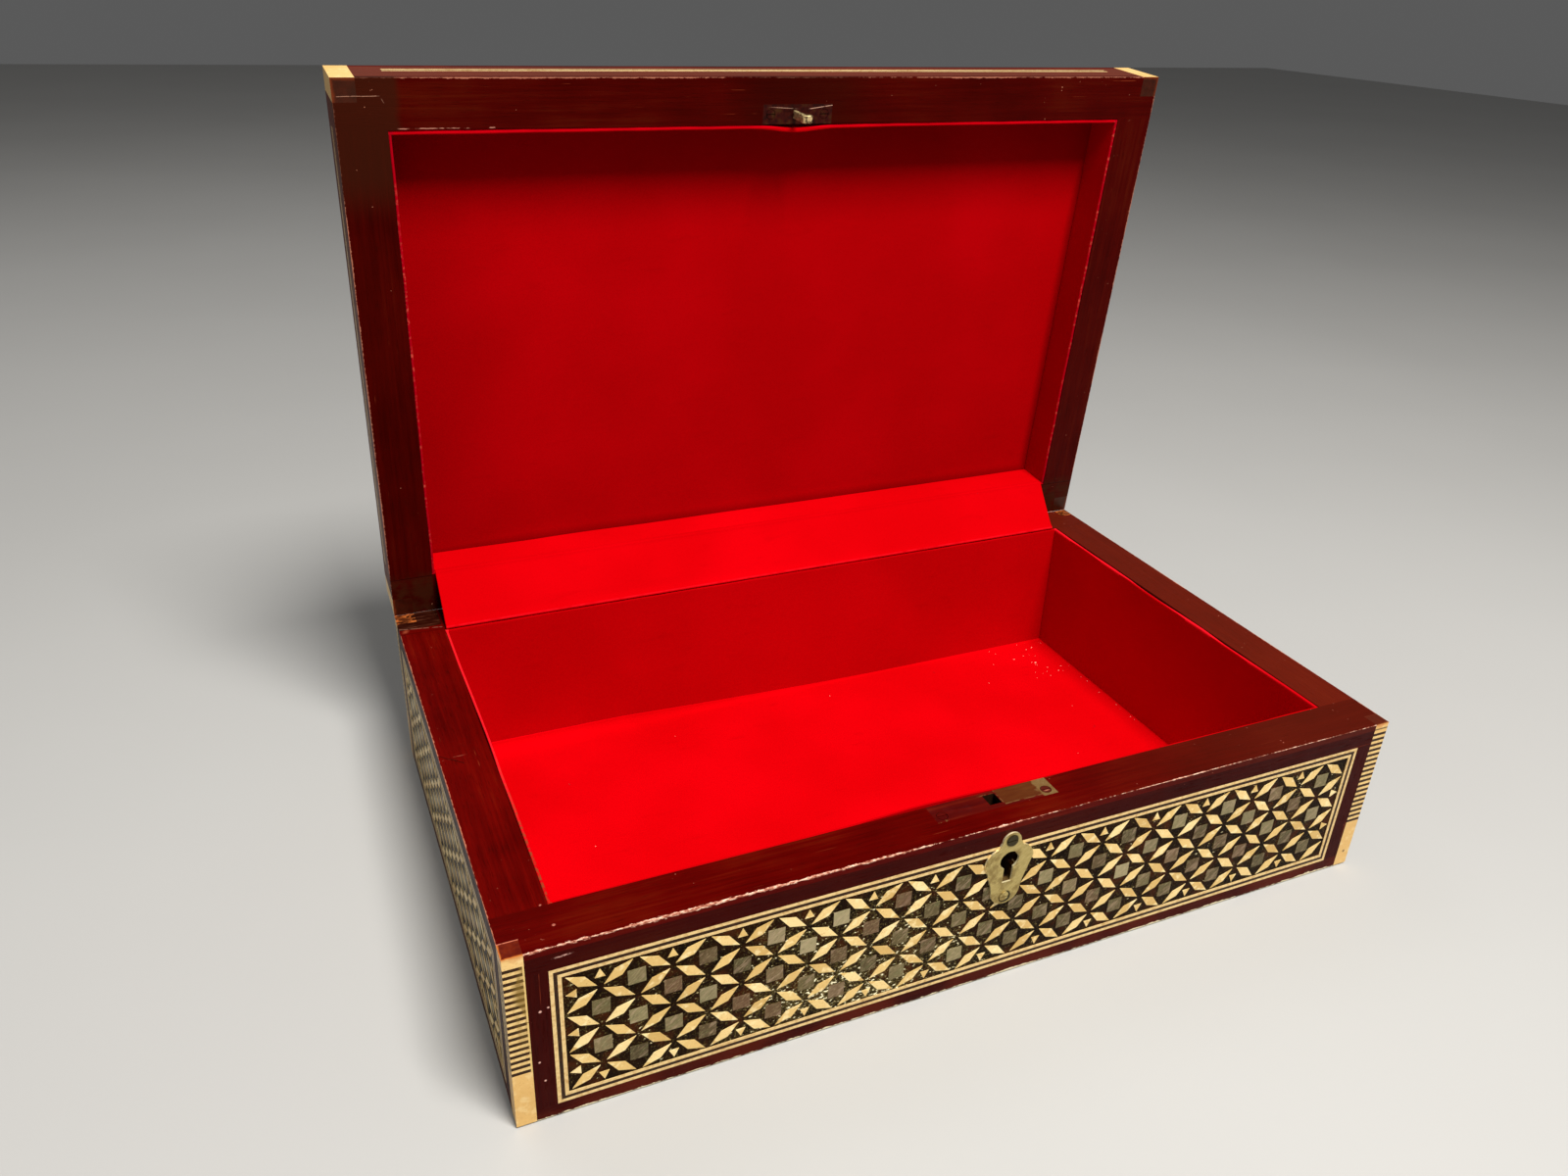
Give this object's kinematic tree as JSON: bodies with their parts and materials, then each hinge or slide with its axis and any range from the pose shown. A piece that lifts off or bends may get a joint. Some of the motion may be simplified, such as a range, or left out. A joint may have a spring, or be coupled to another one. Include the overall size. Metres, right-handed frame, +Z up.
{
  "type": "inlaid jewellery box",
  "caption": "Shallow rectangular wooden box with bone and pearl lattice inlay, striped corner posts, red cloth lining, brass lock and a hinged lid held open by a cloth web",
  "frame": {"origin": "middle of the underside of the body, on the surface that the box stands on", "axes": "+X runs along the front to the right, +Y to the back, +Z up; the lid stands open behind"},
  "size_m": [0.28, 0.1939, 0.233],
  "materials": {
    "carcass_wood": "plain unfinished softwood",
    "mahogany": "dark red-brown wood under glossy lacquer",
    "bone": "ivory-yellow bone, polished and lacquered",
    "pearl": "grey iridescent shell, lacquered",
    "mastic": "near-black resin filler under lacquer",
    "stringing_light": "pale wood line under lacquer",
    "stringing_dark": "dark stained wood line under lacquer",
    "red_lining": "short-napped red cloth",
    "green_felt": "thin pale green felt",
    "brass": "olive aged brass, partly lacquered over",
    "steel": "plain steel"
  },
  "bodies": {
    "body": {"base_felt": "green_felt", "bottom_panel": "carcass_wood", "floor_lining": "red_lining", "wall_linings": "red_lining", "post_bone_blocks": "bone", "post_dark_lamellae": "stringing_dark", "post_light_lamellae": "stringing_light", "escutcheon": "brass", "escutcheon_screws": "brass", "lock_plate": "brass", "lock_case": "brass", "key_post": "steel", "lock_plate_screws": "brass", "hinge_body_leaves": "brass", "hinge_pins": "steel", "hinge_body_screws": "brass", "corner_nails": "steel", "front_wall": "carcass_wood", "rear_wall": "carcass_wood", "left_wall": "carcass_wood", "right_wall": "carcass_wood", "front_rim_strip": "mahogany", "rear_rim_strip": "mahogany", "side_rim_strips": "mahogany", "body_stringing_light": "stringing_light", "body_stringing_dark": "stringing_dark", "front_border": "mahogany", "front_mastic": "mastic", "front_bone_inlay": "bone", "front_pearl_inlay": "pearl", "rear_border": "mahogany", "rear_mastic": "mastic", "rear_bone_inlay": "bone", "rear_pearl_inlay": "pearl", "side_border": "mahogany", "side_mastic": "mastic", "side_bone_inlay": "bone", "side_pearl_inlay": "pearl", "hinge_gusset": "red_lining"},
    "lid": {"hinge_lid_leaves": "brass", "hinge_lid_screws": "brass", "lid_corner_blocks": "bone", "lid_catch_screws": "brass", "lid_catch_plate": "brass", "lid_catch_hook": "brass", "lid_front_wall": "carcass_wood", "lid_rear_wall": "carcass_wood", "lid_side_walls": "carcass_wood", "lid_top_panel": "carcass_wood", "lid_rim_strips": "mahogany", "lid_ceiling_lining": "red_lining", "lid_wall_linings": "red_lining", "lid_edge_veneers": "mahogany", "lid_stringing_light": "stringing_light", "lid_stringing_dark": "stringing_dark", "lid_top_border": "mahogany", "lid_top_mastic": "mastic", "lid_top_bone_inlay": "bone", "lid_top_pearl_inlay": "pearl"},
    "bolt": {"lock_bolt": "brass"}
  },
  "joints": [
    {"name": "lid_hinge", "type": "hinge", "parent": "body", "child": "lid", "pos_m": [0, 0.0875, 0.05705], "axis": [1, 0, 0], "range_deg": [0, 85], "deforming": ["hinge_gusset"]},
    {"name": "bolt_slide", "type": "slide", "parent": "body", "child": "bolt", "axis": [-1, 0, 0], "range_m": [0, 0.0028]}
  ]
}
